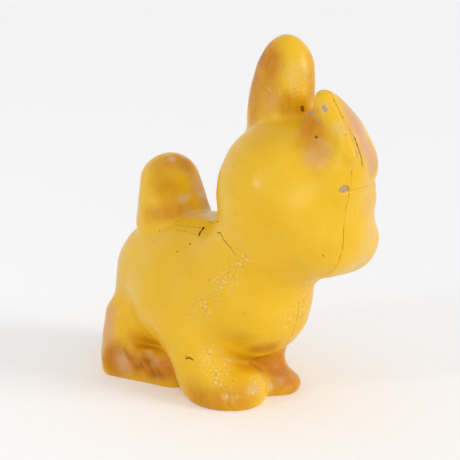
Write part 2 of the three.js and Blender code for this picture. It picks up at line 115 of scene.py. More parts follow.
def path(p, places, radius):
    whole = limb(p, places[0], places[1], radius, radius)
    for start, end in zip(places[1:], places[2:]):
        whole = np.minimum(whole, limb(p, start, end, radius, radius))
    return whole


def unit(v):
    return np.asarray(v, float) / np.linalg.norm(v)


def axesFrom(first, second):
    x = unit(first)
    z = unit(np.cross(x, second))
    return np.stack([x, np.cross(z, x), z], 1)


def fade(value, start, end):
    t = np.clip((value - start) / (end - start), 0, 1)
    return t * t * (3 - 2 * t)


# Trunk, legs and tail
trunk = {
    "hipAt": (-16.0, 0.0, 31.0), "rumpRadii": (24.0, 18.4, 21.5),
    "chestAt": (16.0, 0.0, 31.5), "chestRadii": (21.3, 18.5, 18.5), "chestBlend": 14.0,
    "backAt": (0.0, 0.0, 35.4), "backRadii": (24.0, 20.0, 20.4), "backBlend": 8.0,
    "bellyAt": (-6.0, 0.0, 27.6), "bellyRadii": (19.8, 23.4, 19.0), "bellyBlend": 4.0,
    "webAt": (-7.0, 0.0, 4.0), "webRadii": (20.0, 11.5, 17.0),
}
frontLegs = {
    "shoulderAt": (17.0, 7.5, 41.5), "shoulderRadius": 9.5, "shoulderBlend": 7.0, "pawBlend": 5.0,
    "right": {"elbow": (4.4, -13.4, 23.5), "elbowRadius": 10.2,
              "ankle": (10.0, -12.0, 10.0), "ankleRadius": 10.8,
              "paw": (16.9, -9.7, 3.4), "pawRadii": (13.1, 12.1, 8.6)},
    "left": {"elbow": (13.0, 11.0, 22.0), "elbowRadius": 9.5,
             "ankle": (14.5, 8.4, 10.0), "ankleRadius": 7.6,
             "paw": (18.3, 7.6, 1.9), "pawRadii": (11.8, 9.2, 4.6)},
}
hindLegs = {
    "haunchAt": (-20.5, 8.6, 22.0), "haunchRadii": (14.0, 7.2, 14.0), "blend": 4.0, "pawBlend": 2.0,
    "hock": (-28.0, 11.8, 17.5), "hockRadius": 8.4, "heel": (-27.8, 14.0, 6.0), "heelRadius": 8.4,
    "paw": (-16.6, 12.7, 3.6), "pawHalves": (16.4, 8.8, 6.6), "pawRound": 5.8, "pawTurn": 16.0,
}
tail = {"root": (-17.8, 0.0, 50.0), "rootRadius": 12.8, "tip": (-19.8, 0.0, 63.0), "tipRadius": 10.2,
        "blend": 1.2}


def onSide(place, side):
    return (place[0], side * place[1], place[2])


def barrelForm(p):
    s = trunk
    rump = ellipsoid(p, s["hipAt"], s["rumpRadii"])
    chest = ellipsoid(p, s["chestAt"], s["chestRadii"])
    back = ellipsoid(p, s["backAt"], s["backRadii"])
    belly = ellipsoid(p, s["bellyAt"], s["bellyRadii"])
    barrel = joined(s["backBlend"], joined(s["chestBlend"], rump, chest), back)
    return joined(s["bellyBlend"], barrel, belly)


def standingForm(p, barrel):
    s = frontLegs
    shoulders, legs = [], []
    for side, leg in ((-1, s["right"]), (1, s["left"])):
        top = onSide(s["shoulderAt"], side)
        shoulders.append(limb(p, top, leg["elbow"], s["shoulderRadius"], leg["elbowRadius"]))
        shin = limb(p, leg["elbow"], leg["ankle"], leg["elbowRadius"], leg["ankleRadius"])
        legs.append(joined(s["pawBlend"], shin, ellipsoid(p, leg["paw"], leg["pawRadii"])))
    h = hindLegs
    for side in (-1, 1):
        haunch = ellipsoid(p, onSide(h["haunchAt"], side), h["haunchRadii"])
        shank = limb(p, onSide(h["hock"], side), onSide(h["heel"], side), h["hockRadius"], h["heelRadius"])
        paw = block(p, onSide(h["paw"], side), h["pawHalves"], h["pawRound"], -side * h["pawTurn"])
        legs.append(joined(h["pawBlend"], joined(h["blend"], haunch, shank), paw))
    web = ellipsoid(p, trunk["webAt"], trunk["webRadii"])
    stub = limb(p, tail["root"], tail["tip"], tail["rootRadius"], tail["tipRadius"])
    whole = joined(h["blend"], joined(s["shoulderBlend"], barrel, *shoulders), *legs, web)
    return joined(tail["blend"], whole, stub)


# Head, in its own directions: right, forward and up from its centre
head = {
    "at": (32.0, 5.0, 67.3), "radius": 24.5, "turn": 79.0, "blend": 5.0,
    "neck": ((17.5, 0.0, 31.5), (33.5, 5.0, 67.3)), "neckRadius": 14.6,
    "nape": ((13.0, -5.0, 37.5), (28.0, -3.5, 55.3)), "napeRadius": 13.0,
    "muzzleAt": (0.0, 16.4, -16.5), "muzzleRadii": (12.8, 11.4, 10.6),
    "jawAt": (0.0, 6.8, -14.6), "jawRadii": (20.2, 18.2, 11.6), "jawBlend": 7.0,
    "cheekAt": (12.8, 0.4, -11.4), "cheekRadii": (10.4, 11.0, 10.2), "cheekBlend": 5.0,
    "earRootAt": (17.3, 2.9, 17.4), "earRootRadii": (8.0, 6.5, 8.5),
    "templeAt": (20.7, 1.0, 11.4), "templeRadii": (5.5, 8.0, 8.0), "templeBlend": 7.0, "rootBlend": 4.0,
    "browAngles": (100.0, 20.0), "browRises": (10.4, 7.0), "browStands": (-3.8, -2.6), "browRadius": 4.4,
    "browStandBy": 0.5, "browSteps": 6, "browBlend": 0.8,
    "noseAt": (0.0, 24.6, -10.5), "noseRadii": (4.4, 3.2, 3.2), "eyeSpread": 17.0, "eyeRise": -4.0,
    "eyeRadius": 3.6, "eyeStand": -2.8, "faceBlend": 1.2,
    "eyePaint": 2.75, "eyePaintStand": 1.0, "nosePaint": 0.1, "nosePaintGrowth": 0.2,
}
uprightEar = {
    "at": (-8.2, -0.2, 23.5), "radii": (12.3, 9.0, 24.6), "lean": 8.0, "blend": 2.4,
    "tipAt": (-5.2, 0.8, 37.0), "tipRadii": (7.8, 7.0, 9.6), "tipBlend": 3.0,
    "hollowAt": (-7.2, 9.3, 30.4), "hollowRadii": (6.8, 4.8, 12.4), "rim": 1.0,
}
foldedEar = {
    "at": (18.8, -3.0, 18.8), "radii": (10.4, 13.0, 5.0), "blend": 1.4, "crease": 1.0, "edge": 1.0,
    "across": (0.87, 0.37, -0.3), "upwards": (-0.04, 0.2, 0.98),
    "peak": (16.4, -2.4, 30.6), "peakRadius": 3.2, "bend": (26.6, -0.6, 16.0), "bendRadius": 2.4,
    "dishAt": (17.6, -9.8, 17.4), "dishRadii": (9.4, 11.4, 3.4),
    "flapAt": (17.4, 5.5, 20.4), "flapTip": (20.6, 13.4, 8.0), "flapRadii": (15.8, 5.0, 7.6),
}
turnAngle = np.radians(head["turn"] - 90)
headAxes = np.array([[np.cos(turnAngle), -np.sin(turnAngle), 0],
                     [np.sin(turnAngle), np.cos(turnAngle), 0],
                     [0, 0, 1]])


def onHead(place):
    return headAxes @ np.asarray(place) + np.asarray(head["at"])


def inHead(p):
    return (p - np.asarray(head["at"], np.float32)) @ headAxes.astype(np.float32)


def onSkull(side, angle, height, stand):
    level = np.sqrt((head["radius"] + stand) ** 2 - height ** 2)
    return onHead((side * np.sin(np.radians(angle)) * level, np.cos(np.radians(angle)) * level, height))


def eyePlace(side, stand):
    height = np.sin(np.radians(head["eyeRise"])) * head["radius"]
    return onSkull(side, head["eyeSpread"], height, stand)


def browPlaces(side):
    s = head
    places = []
    for t in np.linspace(0, 1, s["browSteps"] + 1):
        angle, rise = (np.interp(t, (0, 1), s[k]) for k in ("browAngles", "browRises"))
        stand = np.interp(t, (0, s["browStandBy"]), s["browStands"])
        places.append(onSkull(side, angle, rise, stand))
    return places


def uprightEarForm(p):
    s = uprightEar
    lean = np.radians(s["lean"])
    turn = headAxes @ np.array([[np.cos(lean), 0, np.sin(lean)],
                                [0, 1, 0],
                                [-np.sin(lean), 0, np.cos(lean)]])
    hollow = ellipsoid(p, onHead(s["hollowAt"]), s["hollowRadii"], turn)
    ear = ellipsoid(p, onHead(s["at"]), s["radii"], turn)
    ear = joined(s["tipBlend"], ear, ellipsoid(p, onHead(s["tipAt"]), s["tipRadii"], turn))
    return carved(s["rim"], ear, hollow)


def foldedEarForm(p):
    s = foldedEar
    axes = axesFrom(headAxes @ s["across"], headAxes @ s["upwards"])
    peak, bend, tip = (onHead(s[k]) for k in ("peak", "bend", "flapTip"))
    outward = -np.cross(unit(bend - peak), axes[:, 2])
    pastFold = (peak + outward * s["edge"] - p) @ outward
    leaf = carved(s["blend"], ellipsoid(p, onHead(s["at"]), s["radii"], axes), pastFold)
    leaf = carved(s["crease"], leaf, ellipsoid(p, onHead(s["dishAt"]), s["dishRadii"], axes))
    roll = limb(p, peak, bend, s["peakRadius"], s["bendRadius"])
    hang = unit(tip - peak)
    flap = ellipsoid(p, onHead(s["flapAt"]), s["flapRadii"], axesFrom(hang, headAxes @ s["flapAt"]))
    return joined(s["crease"], leaf, roll, carved(s["crease"], flap, (tip - p) @ hang))


def faceForm(p):
    s = head
    skull = ellipsoid(p, s["at"], (s["radius"],) * 3)
    cheeks = [ellipsoid(p, onHead((side * s["cheekAt"][0], *s["cheekAt"][1:])), s["cheekRadii"], headAxes)
              for side in (-1, 1)]
    muzzle = ellipsoid(p, onHead(s["muzzleAt"]), s["muzzleRadii"], headAxes)
    jaw = ellipsoid(p, onHead(s["jawAt"]), s["jawRadii"], headAxes)
    return joined(s["cheekBlend"], skull, joined(s["jawBlend"], jaw, muzzle, *cheeks))


def headForm(p, face):
    s = head
    root = ellipsoid(p, onHead(s["earRootAt"]), s["earRootRadii"])
    temple = joined(s["rootBlend"], root, ellipsoid(p, onHead(s["templeAt"]), s["templeRadii"]))
    brows = [path(p, browPlaces(side), s["browRadius"]) for side in (-1, 1)]
    browed = joined(s["browBlend"], joined(s["templeBlend"], face, temple), *brows)
    eyes = [ellipsoid(p, eyePlace(side, s["eyeStand"]), (s["eyeRadius"],) * 3) for side in (-1, 1)]
    nose = ellipsoid(p, onHead(s["noseAt"]), s["noseRadii"], headAxes)
    features = joined(s["faceBlend"], browed, nose, *eyes)
    oneEared = joined(uprightEar["blend"], features, uprightEarForm(p))
    return joined(foldedEar["blend"], oneEared, foldedEarForm(p))


def mainForms(p):
    barrel = barrelForm(p)
    face = faceForm(p)
    neck = limb(p, *head["neck"], head["neckRadius"], head["neckRadius"])
    nape = limb(p, *head["nape"], head["napeRadius"], head["napeRadius"])
    standing = joined(trunk["backBlend"], standingForm(p, barrel), neck, nape)
    outside = joined(head["blend"], standing, headForm(p, face))
    return outside, joined(trunk["backBlend"], barrel, neck, face)


# Camera at the photograph's angle, with its target in the mould's frame
view = {"azimuth": 45.0, "elevation": 14.5, "distance": 420.0, "target": (8.28, 0.0, 52.1), "lens": 102.7,
        "sensor": 36.0, "pixels": 460}
azimuth, elevation = (np.radians(view[k]) for k in ("azimuth", "elevation"))
viewBack = np.array([np.sin(azimuth) * np.cos(elevation),
                     -np.cos(azimuth) * np.cos(elevation),
                     np.sin(elevation)])
viewRight = np.array([np.cos(azimuth), np.sin(azimuth), 0.0])
viewUp = np.cross(viewBack, viewRight)
viewEye = np.asarray(view["target"]) + view["distance"] * viewBack

# Rays from outside find places on the toy. They start ahead of it, and their ends are pulled onto its skin.
tracing = {"steps": 140, "stride": 0.7, "farthest": 200.0, "ahead": 90.0, "faceAhead": 50.0,
           "pull": 20.0, "rounds": 6, "mirrorRounds": 8}


def marched(starts, rays):
    s = tracing
    reach, best = np.zeros(len(starts)), np.zeros(len(starts))
    nearest = np.full(len(starts), np.inf)
    for _ in range(s["steps"]):
        off = skinForm((starts + rays * reach[:, None]).astype(np.float32))
        best = np.where(off < nearest, reach, best)
        nearest = np.minimum(off, nearest)
        reach = np.minimum(reach + s["stride"] * off, s["farthest"])
    return settled(skinForm, starts + rays * best[:, None], s["pull"], s["rounds"])


def onSurface(pixels):
    middle = (view["pixels"] - 1) / 2
    focal = view["lens"] / view["sensor"] * view["pixels"]
    across, down = np.asarray(pixels, float).T - middle
    rays = np.outer(across, viewRight) - np.outer(down, viewUp) - focal * viewBack
    rays /= np.linalg.norm(rays, axis=1)[:, None]
    return marched(viewEye + rays * (view["distance"] - tracing["ahead"]), rays)


def onFace(places):
    starts = np.array([onHead((right, tracing["faceAhead"], up)) for right, up in places])
    return marched(starts, np.tile(-headAxes[:, 1], (len(starts), 1)))


def mirrored(places, about):
    if about == "body":
        return places * (1, -1, 1)
    return inHead(places) * (-1, 1, 1) @ headAxes.T + np.asarray(head["at"])


# Moulded grooves, by pixels of the photograph or by right and up on the face
grooves = {
    "brow": {"pixels": [(343, 193), (352, 190.6), (362, 188), (371, 185.4), (377, 183.2)], "mirror": "head",
             "radius": 0.55, "depth": 0.3, "soft": 0.35},
    "hindToe": {"pixels": [(128, 349), (133, 358), (138, 366), (142, 373)], "mirror": "body",
                "radius": 1.5, "depth": 1.0, "soft": 0.9},
    "hindToeAhead": {"pixels": [(146, 351), (150, 361), (156, 375)], "mirror": "body",
                     "radius": 1.5, "depth": 0.9, "soft": 0.9},
    "pawToe": {"pixels": [(226, 392), (227, 399), (228, 407)], "radius": 0.9, "depth": 0.3, "soft": 0.6},
    "mouth": {"face": [(-9.5, -16.0), (-6.0, -19.4), (-2.5, -19.8), (0.0, -18.0), (2.5, -19.8),
                       (6.0, -19.4), (9.5, -16.0)], "radius": 0.8, "depth": 0.6, "soft": 0.5},
    "lip": {"face": [(0.0, -13.0), (0.0, -18.0)], "radius": 0.7, "depth": 0.5, "soft": 0.5},
}


# Age: cracks and pits by radius, darkness and pixels, and chips in the paint by radius, depth and pixels
def crackOn(radius, tone, *pixels):
    return {"radius": radius, "tone": tone, "pixels": pixels}


def chipOn(radius, depth, *pixels):
    return {"radius": radius, "depth": depth, "pixels": pixels}


cracks = {
    "back": crackOn(0.36, 1.0, (202.9, 227.2), (202.6, 229), (199.8, 231.4), (198.8, 234.4)),
    "neck": crackOn(0.14, 0.75, (217.4, 232.2), (219.9, 232.4), (221.6, 236.4), (222.8, 238.9),
                    (227, 243.8), (230.7, 248)),
    "neckEnd": crackOn(0.12, 0.5, (230.7, 248), (235.3, 254.6)),
    "backLine": crackOn(0.12, 0.4, (176.4, 224.4), (185.5, 225.2), (194.6, 226.4), (201.3, 226.8)),
    "backLineLow": crackOn(0.12, 0.35, (176.4, 229.8), (183, 230.2), (186.3, 231)),
    "backLineEnd": crackOn(0.12, 0.35, (189.6, 232.2), (197, 233.9)),
    "wornEdge": crackOn(0.14, 0.4, (207.9, 221), (212, 222.3), (218, 221)),
    "fold": crackOn(0.14, 0.35, (332.5, 98.8), (340.6, 113), (347.5, 126.8), (352.6, 135.4)),
    "foldSlit": crackOn(0.22, 0.65, (352.6, 135.4), (357.8, 147.5), (361.2, 157.8), (362.1, 166)),
    "templeLine": crackOn(0.16, 0.5, (350.6, 170.6), (351.8, 176)),
    "leg": crackOn(0.22, 0.8, (185.4, 358.2), (189, 357.2), (192.4, 359.4)),
    "legFork": crackOn(0.14, 0.5, (184.6, 355.6), (187.6, 356.4)),
    "backPit": crackOn(0.34, 0.7, (188.8, 243), (189.6, 243.2)),
    "sidePit": crackOn(0.24, 0.6, (176.4, 251), (176.9, 251.2)),
    "rumpPit": crackOn(0.2, 0.5, (158.8, 229.8), (159.3, 230)),
    "earPit": crackOn(0.5, 0.75, (301.6, 107), (302.2, 109.6)),
    "dishPit": crackOn(0.35, 0.6, (315.5, 136.4), (316, 136.8)),
    "templePit": crackOn(0.3, 0.8, (346.6, 190.2), (347.2, 190.8)),
    "cheekPit": crackOn(0.26, 0.55, (322.6, 255.2), (323, 255.6)),
}
chips = {
    "temple": chipOn(0.95, 0.4, (341.4, 189.6), (343.8, 187.8), (346.2, 188.4), (343.6, 190.4)),
    "foldTop": chipOn(0.7, 0.2, (323, 107), (324.6, 109.4)),
    "foldEdge": chipOn(0.6, 0.25, (309.6, 113), (312.6, 111.6)),
    "flapEdge": chipOn(0.6, 0.2, (356.4, 151.6), (357.2, 154.6)),
    "foldMiddle": chipOn(0.5, 0.2, (317.4, 119.4), (319, 121)),
}


def skinForm(p):
    return mainForms(p)[0]


def placeMarks():
    for mark in [*grooves.values(), *cracks.values(), *chips.values()]:
        mark["paths"] = [onFace(mark["face"]) if "face" in mark else onSurface(mark["pixels"])]
    for groove in grooves.values():
        if "mirror" in groove:
            other = mirrored(groove["paths"][0], groove["mirror"])
            groove["paths"].append(settled(skinForm, other, tracing["pull"], tracing["mirrorRounds"]))
        rise = groove["radius"] - groove["depth"]    # how far the round tool's middle stands off the skin
        groove["paths"] = [places + slopeOf(skinForm, places.astype(np.float32)) * rise
                           for places in groove["paths"]]
    print("marks placed:", len(grooves), "grooves,", len(cracks), "cracks,", len(chips), "chips")


def away(p, mark):
    return np.min([path(p, places, mark["radius"]) for places in mark["paths"]], axis=0)


def nearMarks(p):
    return np.min([away(p, mark) for mark in [*cracks.values(), *chips.values()]], axis=0)


# Half shells: the outside with its marks, less the hollow and the whistle's seat, up to the parting plane
shell = {"wall": 3.0, "step": 1.0, "margin": 2.4, "tolerance": 0.015, "levels": 3,
         "markReach": 4.0, "markEdge": 0.15}
skinWave = {"height": 0.1, "length": 19.0, "bend": 1.3, "start": 0.7, "rippleShare": 0.5, "rippleRate": 2.3}
seat = {"nose": 5.8, "lip": 2.2, "body": 7.3, "shoulder": 7.0, "airway": 4.5, "airwayTop": 35.4,
        "overlap": 1.0}


def waves(p):
    s = skinWave
    x, y, z = (p * (2 * np.pi / s["length"])).T
    swell = np.sin(x + s["bend"] * np.sin(z)) * np.sin(y + s["start"])
    return s["height"] * (swell + s["rippleShare"] * np.sin(s["rippleRate"] * z + x))


def seatForm(p):
    s = seat
    across = np.hypot(p[:, 0] - whistleAxis[0], p[:, 1] - whistleAxis[1])
    up = p[:, 2]
    nose = np.maximum(across - s["nose"], up - s["lip"])
    body = np.maximum(across - s["body"], np.maximum(s["lip"] - up, up - s["shoulder"]))
    airwayEnds = np.maximum(s["shoulder"] - up - s["overlap"], up - s["airwayTop"])
    airway = np.maximum(across - s["airway"], airwayEnds)
    return np.minimum(np.minimum(nose, body), airway)


def marked(p, outside):
    for groove in grooves.values():
        outside = carved(groove["soft"], outside, away(p, groove))
    for crack in cracks.values():
        outside = carved(shell["markEdge"], outside, away(p, crack))
    for chip in chips.values():
        outside = carved(shell["markEdge"], outside, np.maximum(away(p, chip), -outside - chip["depth"]))
    return outside


def outsideForm(p):
    outside, inner = mainForms(p)
    outside = outside + waves(p)
    near = np.abs(outside) < shell["markReach"]
    if near.any():
        outside[near] = marked(p[near], outside[near])
    return outside, inner


# The parting line shows on the side of the head, the chest and between the paws, where it fades in between
# two places on x or z. Elsewhere the bonded halves lap.
seam = {"gap": 0.015, "round": 0.22, "lap": 0.3, "lapRound": 0.02,
        "headFrom": (36.0, 42.0), "chestFrom": (14.0, 20.0), "chestBelow": (42.0, 34.0)}


def seamShown(p):
    ahead = fade(p[:, 0], *seam["headFrom"])
    between = fade(p[:, 0], *seam["chestFrom"]) * fade(p[:, 2], *seam["chestBelow"])
    return np.maximum(ahead, between)


def halfForm(side):
    def form(p):
        outside, inner = outsideForm(p)
        rubber = np.maximum(outside, -(inner + shell["wall"]))
        rubber = np.maximum(np.maximum(rubber, -seatForm(p)), -p[:, 2])
        shown = seamShown(p)
        gap = seam["gap"] * shown - seam["lap"] * (1 - shown)
        return carved(seam["lapRound"] + seam["round"] * shown, rubber, side * p[:, 1] - gap)
    return form


def sampled(form, low, counts, step):
    values = np.empty(counts, np.float32)
    rows = [low[axis] + step * np.arange(counts[axis]) for axis in (1, 2)]
    across, up = np.meshgrid(*rows, indexing="ij")
    for i in range(counts[0]):
        sheet = np.stack([np.full(across.shape, low[0] + step * i), across, up], -1)
        values[i] = form(sheet.reshape(-1, 3).astype(np.float32)).reshape(across.shape)
    return values


# Corners of a grid square that touch only across it would pinch the skin, so the nearer gap is filled
def fillPinches(values):
    found = 1
    while found:
        found = 0
        for a, b in ((0, 1), (1, 2), (0, 2)):
            front = np.moveaxis(values, (a, b), (0, 1))
            ring = [front[:-1, :-1], front[1:, :-1], front[1:, 1:], front[:-1, 1:]]
            inside = [corner < 0 for corner in ring]
            pinched = (inside[0] == inside[2]) & (inside[1] == inside[3]) & (inside[0] != inside[1])
            for i, j, k in np.argwhere(pinched):
                gaps = [corner for corner in ring if corner[i, j, k] >= 0]
                if len(gaps) == 2:
                    nearer = min(gaps, key=lambda corner: corner[i, j, k])
                    nearer[i, j, k] = -tiny
                    found += 1


def skinOf(form, low, high, step):
    counts = np.ceil((np.asarray(high) - low) / step).astype(int) + 1
    values = sampled(form, low, counts, step)
    fillPinches(values)
    inside, flat = values < 0, values.ravel()
    strides = np.array([counts[1] * counts[2], counts[2], 1])
    rings, cells, crossings = [], [], []
    for axis in range(3):
        at = np.argwhere(np.diff(inside, axis=axis))
        start = at @ strides
        crossing = at.astype(float)
        crossing[:, axis] += flat[start] / (flat[start] - flat[start + strides[axis]])
        u, v = strides[(axis + 1) % 3], strides[(axis + 2) % 3]
        ring = start[:, None] - np.array([u + v, v, 0, u])
        outwards = flat[start] < 0
        rings.append(np.where(outwards[:, None], ring, ring[:, ::-1]))
        cells.append(ring.ravel())
        crossings.append(np.repeat(crossing, 4, axis=0))
    rings, cells, crossings = (np.concatenate(part) for part in (rings, cells, crossings))
    used, index = np.unique(cells, return_inverse=True)
    shares = np.bincount(index)
    points = np.stack([np.bincount(index, crossings[:, i]) / shares for i in range(3)], 1) * step + low
    quads = np.searchsorted(used, rings)
    return settled(form, points, step), quads


def slopes(form, p, probe):
    here = form(p)
    probe = np.float32(probe)
    rises = [form(p + probe * axis) - here for axis in np.eye(3, dtype=np.float32)]
    return here, np.stack(rises, 1) / probe


def slopeOf(form, p, probe=0.1):
    slope = slopes(form, p, probe)[1]
    return slope / np.maximum(np.linalg.norm(slope, axis=1), tiny)[:, None]


# Points move down the slope onto the surface, by no more than a share of the step
settling = {"probe": 0.02, "flattest": 0.1, "share": 0.45}


def settled(form, points, step, rounds=3):
    s = settling
    at = points.astype(np.float32)
    for _ in range(rounds):
        here, slope = slopes(form, at, s["probe"])
        at = at - slope * (here / np.maximum((slope * slope).sum(1), s["flattest"]))[:, None]
    moved = at - points
    length = np.linalg.norm(moved, axis=1)[:, None]
    return points + moved * np.minimum(1, s["share"] * step / np.maximum(length, tiny))


def triangles(points, quads):
    a, b, c, d = points[quads].transpose(1, 0, 2)
    shortAC = ((a - c) ** 2).sum(1) <= ((b - d) ** 2).sum(1)
    cutAC = quads[:, [0, 1, 2, 0, 2, 3]]
    cutBD = quads[:, [0, 1, 3, 1, 2, 3]]
    return np.where(shortAC[:, None], cutAC, cutBD).reshape(-1, 3)


# Cuts the edges whose middles lie off the surface, and the triangles on them
def refined(form, wanted, points, faces, step):
    sides = np.sort(np.stack([faces, np.roll(faces, -1, 1)], -1), -1).reshape(-1, 2)
    keys, index = np.unique(sides[:, 0] * len(points) + sides[:, 1], return_inverse=True)
    ends = np.stack([keys // len(points), keys % len(points)], 1)
    middles = points[ends].mean(1)
    cut = wanted(middles.astype(np.float32))
    fresh = np.full(len(keys), -1)
    fresh[cut] = len(points) + np.arange(cut.sum())
    points = np.concatenate([points, settled(form, middles[cut], step)])
    between = fresh[index].reshape(-1, 3)
    count = (between >= 0).sum(1)
    done = [faces[count == 0]]
    for n in (1, 2, 3):
        f, m = faces[count == n], between[count == n]
        if n < 3:    # turned so that its first side is the cut one, or its last the whole one
            first = np.argmax(m >= 0, 1) if n == 1 else (np.argmin(m >= 0, 1) + 1) % 3
            turn = (first[:, None] + np.arange(3)) % 3
            f, m = np.take_along_axis(f, turn, 1), np.take_along_axis(m, turn, 1)
        (a, b, c), (ab, bc, ca) = f.T, m.T
        parts = {1: [(a, ab, c), (ab, b, c)], 2: [(ab, b, bc), (a, ab, bc), (a, bc, c)],
                 3: [(a, ab, ca), (ab, b, bc), (bc, c, ca), (ab, bc, ca)]}[n]
        done += [np.stack(part, 1) for part in parts]
    return points, np.concatenate(done)


# How near to what shows an edge has to lie to be cut, and where the smooth normals come from
fineness = {"depth": 1.2, "seatReach": 0.5, "evenLevels": 2, "partingReach": 0.5, "paintReach": 0.35,
            "skinReach": 0.5, "markReach": 0.5, "outerReach": 0.1, "probe": 0.02, "outerProbe": 0.05}


def shellMesh(name, side):
    s = fineness
    form = halfForm(side)
    low, high = (np.asarray(corner) / mm - shift for corner in cadBox)
    low, high = low - shell["margin"], high + shell["margin"]
    (high if side < 0 else low)[1] = -side * shell["margin"]    # just past the parting plane
    points, quads = skinOf(form, low, high, shell["step"])
    faces = triangles(points, quads)

    def wanted(p, level):
        off = np.abs(form(p)) > shell["tolerance"]
        skin = skinForm(p)
        shown = (skin > -s["depth"]) | (seatForm(p) < s["seatReach"])
        fine = off & shown & ((level < s["evenLevels"]) | (np.abs(p[:, 1]) < s["partingReach"]))
        features = (np.abs(pastFeatures(p)) < s["paintReach"]) & (np.abs(skin) < s["skinReach"])
        return fine | features | (nearMarks(p) < s["markReach"])

    for level in range(shell["levels"]):
        step = shell["step"] / 2 ** (level + 1)
        points, faces = refined(form, lambda p: wanted(p, level), points, faces, step)
    print(name, len(points), "points", len(faces), "triangles")
    mesh = bpy.data.meshes.new(name)
    mesh.from_pydata(((points + shift) * mm).tolist(), [], faces.tolist())
    mesh.polygons.foreach_set("use_smooth", np.ones(len(faces), bool))
    p = points.astype(np.float32)
    outer = np.abs(outsideForm(p)[0]) < s["outerReach"]
    normals = slopeOf(form, p, s["probe"])
    normals[outer] = slopeOf(lambda q: outsideForm(q)[0], p[outer], s["outerProbe"])
    paintPoints(mesh, p)
    mesh.update()
    mesh.normals_split_custom_set_from_vertices(normals.tolist())
    return mesh


